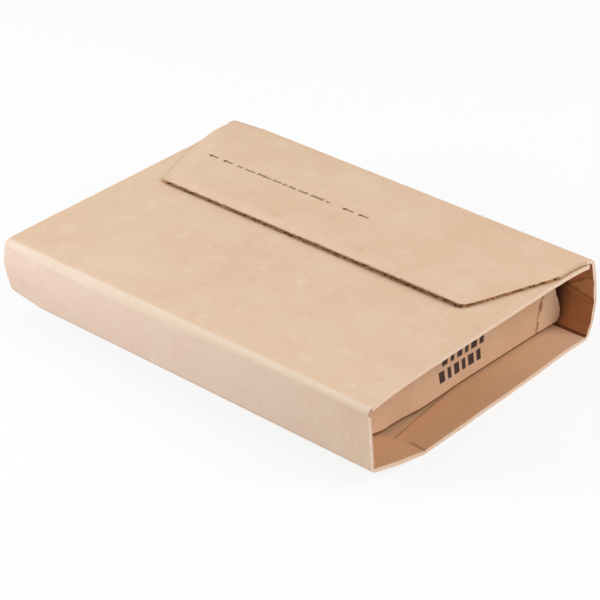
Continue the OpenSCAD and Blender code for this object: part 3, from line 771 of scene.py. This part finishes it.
# The printed row over the tear tape is dark brown ink on the flap: arrows at both ends that point
# to the left, and between them rows of small plain blocks in groups.
ink_y, ink_high = 226.75, 0.04
arrow_x = ((-171.5, -160.0), (-154.0, -142.0), (-13.0, 0.0), (5.0, 17.0))
head_l, head_w, neck_l, shaft_w, row_start = 4.6, 2.5, 4.2, 0.8, -136.0
group_l = np.array([7.5, 12.0, 16.0, 9.5, 4.5, 8.5, 12.5, 15.0, 6.0])
block_l, block_gap, group_gap = 1.15, 0.5, 2.4


def on_flap(outlines, high):
    """Outlines of x and y laid on the flap, some height above it."""
    return np.concatenate([outlines, flap_z(outlines[..., :1], outlines[..., 1:]) + high], -1)


def on_end_wall(outlines, high):
    """Outlines of y and z laid on the right end wall, some height outside it."""
    y, z = outlines[..., :1], outlines[..., 1:]
    return np.concatenate([end_wall_x(y) + wall_out(y, z) + high, outlines], -1)


def ink_blocks(outlines, laid):
    """Closed flat blocks of ink from outlines of equal length, a hair above and below the face.
    Gives their points and their faces: two lids and a ring of walls to each block."""
    n = outlines.shape[1]
    points = np.concatenate([laid(outlines, ink_high), laid(outlines, -ink_high)], axis=1)
    first = (np.arange(len(outlines)) * 2 * n)[:, None]
    ring = np.arange(n)
    lids = (first + ring).tolist() + (first + n + ring[::-1]).tolist()
    walls = np.stack([ring, ring + n, (ring + 1) % n + n, (ring + 1) % n], -1)
    return points.reshape(-1, 3), lids + (first[:, :, None] + walls[None]).reshape(-1, 4).tolist()


def ink_object(name, groups, material):
    """One mesh from several groups of ink blocks."""
    points, faces, start = [], [], 0
    for made, block_faces in groups:
        points.append(made)
        faces += [[start + k for k in face] for face in block_faces]
        start += len(made)
    points = np.concatenate(points)
    points[:, 1] -= y_mid
    mesh = bpy.data.meshes.new(name)
    mesh.from_pydata((points * MM).tolist(), [], faces)
    mesh.materials.append(material)
    piece = bpy.data.objects.new(name, mesh)
    bpy.context.scene.collection.objects.link(piece)
    return piece


def ink_material(name, full, worn):
    """Matt ink that lets the paper through in fine thin spots."""
    material, tree, shader = new_material(name)
    place = node(tree, "ShaderNodeTexCoord").outputs["Object"]
    spots = node(tree, "ShaderNodeTexNoise", {"Vector": place, "Scale": 1500.0, "Detail": 3.0})
    tone = mixed(tree, ranged(tree, spots.outputs[0], 0.5, 0.8, 0.0, 0.5), full, worn)
    tree.links.new(tone, shader.inputs["Base Color"])
    tree.links.new(ranged(tree, spots.outputs[0], 0.3, 0.8, 0.6, 0.85), shader.inputs["Roughness"])
    return material


def boxes(x0, x1, y0, y1):
    """Outlines of upright boxes, anticlockwise from the lower left corner."""
    return np.stack([np.stack([x0, y0], -1), np.stack([x1, y0], -1),
                     np.stack([x1, y1], -1), np.stack([x0, y1], -1)], 1)


starts = row_start + np.concatenate([[0], np.cumsum(group_l + group_gap)[:-1]])
counts = np.floor((group_l + block_gap) / (block_l + block_gap)).astype(int)
block_x = np.concatenate([start + np.arange(count) * (block_l + block_gap)
                          for start, count in zip(starts, counts)])
tall = 1.1 + 0.7 * (np.sin(block_x * 3.7) > 0.35)
deep = 1.1 + 0.7 * (np.sin(block_x * 2.3 + 1) > 0.7)
row_blocks = boxes(block_x, block_x + block_l, ink_y - deep, ink_y + tall)
heads = np.array([[[tip, ink_y], [tip + head_l, ink_y - head_w], [tip + neck_l, ink_y - shaft_w],
                   [tail, ink_y - shaft_w], [tail, ink_y + shaft_w],
                   [tip + neck_l, ink_y + shaft_w], [tip + head_l, ink_y + head_w]]
                  for tip, tail in arrow_x])
printed_row = ink_object("printed_row", [ink_blocks(row_blocks, on_flap), ink_blocks(heads, on_flap)],
                         ink_material("brown_ink", "6a4631", "9c7253"))
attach(printed_row, "root")

# On the right end wall the print is two rows of plain upright bars in a darker ink.
bar_y = 139.0 + np.cumsum([0, 11.0, 8.5, 10.0, 8.0, 11.0])
bar_l = np.array([7.0, 4.5, 6.5, 4.5, 7.5, 5.5])
bars = [boxes(y, y + bar_l, np.full(6, low), np.full(6, high))
        for y, low, high in ((bar_y, 17.0, 27.0), (bar_y + 4.5, 31.0, 42.0))]
wall_bars = ink_object("wall_bars", [ink_blocks(rows, on_end_wall) for rows in bars],
                       ink_material("dark_ink", "2f1a13", "6a4736"))
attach(wall_bars, "root")

# The table is a plain white sheet, and the wall behind it is the same white. What the camera sees
# of them is white with the parcel's soft shadow on it.
floor_half, floor_z_m = 6.0, -0.0003
floor_mesh = bpy.data.meshes.new("table_top")
floor_mesh.from_pydata([(x * floor_half, y * floor_half, floor_z_m)
                        for x, y in ((-1, -1), (1, -1), (1, 1), (-1, 1))], [], [(0, 1, 2, 3)])
table_top = bpy.data.objects.new("table_top", floor_mesh)
bpy.context.scene.collection.objects.link(table_top)


def seen_switch(tree, lighting, seen):
    """A shader that is `seen` to the camera, in gloss and through glass, and `lighting` to the
    rest of the light."""
    ray = node(tree, "ShaderNodeLightPath")
    direct = node(tree, "ShaderNodeMath", {0: ray.outputs["Is Camera Ray"],
                                           1: ray.outputs["Is Glossy Ray"]}, operation="MAXIMUM")
    any_of = node(tree, "ShaderNodeMath", {0: direct.outputs[0], 1: ray.outputs["Is Transmission Ray"]},
                  operation="MAXIMUM")
    return node(tree, "ShaderNodeMixShader", {0: any_of.outputs[0], 1: lighting.outputs[0],
                                              2: seen.outputs[0]}).outputs[0]


white, tree, _ = new_material("white_table")
tree.nodes.clear()
matt = node(tree, "ShaderNodeBsdfDiffuse", {"Color": (0.6, 0.6, 0.6, 1)})
seen_matt = node(tree, "ShaderNodeBsdfDiffuse", {"Color": (0.95, 0.95, 0.95, 1)})
glow = node(tree, "ShaderNodeEmission", {"Color": (1, 1, 1, 1), "Strength": 1.0})
seen_top = node(tree, "ShaderNodeMixShader", {0: 0.85, 1: seen_matt.outputs[0], 2: glow.outputs[0]})
node(tree, "ShaderNodeOutputMaterial", {"Surface": seen_switch(tree, matt, seen_top)})
floor_mesh.materials.append(white)

world = bpy.data.worlds.new("white_room")
world.use_nodes = True
bpy.context.scene.world = world
tree = world.node_tree
tree.nodes.clear()
fill = node(tree, "ShaderNodeBackground", {"Color": (1, 1, 1, 1), "Strength": 0.3})
backdrop = node(tree, "ShaderNodeBackground", {"Color": (1, 1, 1, 1), "Strength": 1.0})
node(tree, "ShaderNodeOutputWorld", {"Surface": seen_switch(tree, fill, backdrop)})

# Three soft studio lamps: the main one behind the right end, which opens up the recess, a broad
# one overhead, and a cooler one low at the front left, which brightens the near wall.
lamp_aim = Vector((0, 0, 0.04))
for name, place, size, watts, colour in (
        ("back_right", (1.6, 0.9, 1.2), 1.4, 25.0, (1.0, 0.95, 0.89)),
        ("overhead", (-0.5, 0.2, 2.0), 1.8, 8.5, (1.0, 0.96, 0.91)),
        ("front_left", (-1.1, -1.3, 0.7), 0.9, 27.03, (0.853, 0.9118, 1.0))):
    lamp_data = bpy.data.lights.new(name, "AREA")
    lamp_data.shape, lamp_data.size, lamp_data.energy, lamp_data.color = "DISK", size, watts, colour
    lamp = bpy.data.objects.new(name, lamp_data)
    turned = (Vector(place) - lamp_aim).to_track_quat("Z", "Y").to_matrix().to_4x4()
    lamp.matrix_world = Matrix.Translation(Vector(place)) @ turned
    bpy.context.scene.collection.objects.link(lamp)

bpy.context.scene.view_settings.view_transform = "Standard"
